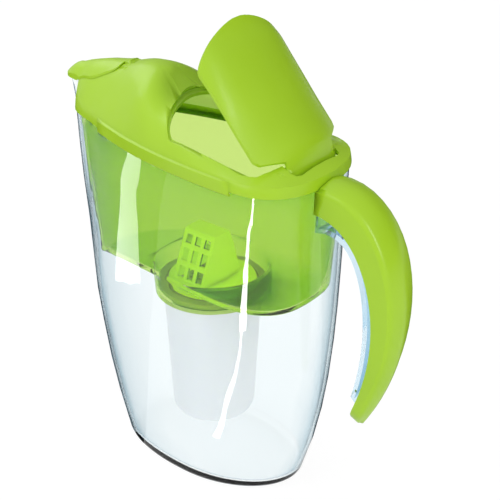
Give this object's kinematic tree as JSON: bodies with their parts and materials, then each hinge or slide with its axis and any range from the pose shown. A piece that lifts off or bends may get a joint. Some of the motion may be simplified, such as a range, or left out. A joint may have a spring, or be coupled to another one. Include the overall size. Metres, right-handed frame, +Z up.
{
  "type": "water filter pitcher",
  "caption": "Slim clear water filter pitcher with a domed green lid, lift-up fill flap, spout flap, tinted inner hopper, filter cartridge and loop handle.",
  "frame": {"origin": "centre of the flat underside of the base, on the surface the pitcher stands on", "axes": "+Z up, +X from the spout towards the handle, +Y across the pitcher"},
  "size_m": [0.2687, 0.0944, 0.3127],
  "materials": {
    "clear_plastic": "clear, glossy",
    "lime_plastic": "opaque, satin gloss",
    "tinted_plastic": "translucent green, glossy",
    "white_plastic": "smooth satin",
    "bright_plastic": "smooth satin",
    "seal_rubber": "matt",
    "screen_plastic": "matt",
    "carbon": "granular",
    "felt": "felt",
    "resin": "granular"
  },
  "bodies": {
    "jug": {"jug_body": "clear_plastic", "handle_stem": "clear_plastic", "handle_cover": "lime_plastic"},
    "hopper": {"hopper": "tinted_plastic"},
    "lid": {"lid_shell": "lime_plastic"},
    "flap": {"flip_flap": "lime_plastic"},
    "leaf": {"spout_flap": "lime_plastic"},
    "cartridge": {"cartridge_cup": "white_plastic", "cartridge_cage": "bright_plastic", "cartridge_seal": "seal_rubber", "inlet_screen": "screen_plastic", "carbon_bed": "carbon", "felt_divider": "felt", "resin_bed": "resin", "outlet_screen": "screen_plastic"}
  },
  "joints": [
    {"name": "hopper_lift", "type": "slide", "parent": "jug", "child": "hopper", "axis": [0, 0, 1], "range_m": [0, 0.15]},
    {"name": "lid_lift", "type": "slide", "parent": "hopper", "child": "lid", "axis": [0, 0, 1], "range_m": [0, 0.06]},
    {"name": "flap_hinge", "type": "hinge", "parent": "lid", "child": "flap", "pos_m": [0.069, 0, 0.236], "axis": [0, 1, 0], "range_deg": [-41.2, 0]},
    {"name": "spout_flap_hinge", "type": "hinge", "parent": "lid", "child": "leaf", "pos_m": [-0.069, 0, 0.26243], "axis": [0, 1, 0], "range_deg": [0, 55]},
    {"name": "cartridge_lift", "type": "slide", "parent": "hopper", "child": "cartridge", "axis": [0, 0, 1], "range_m": [0, 0.06]}
  ]
}
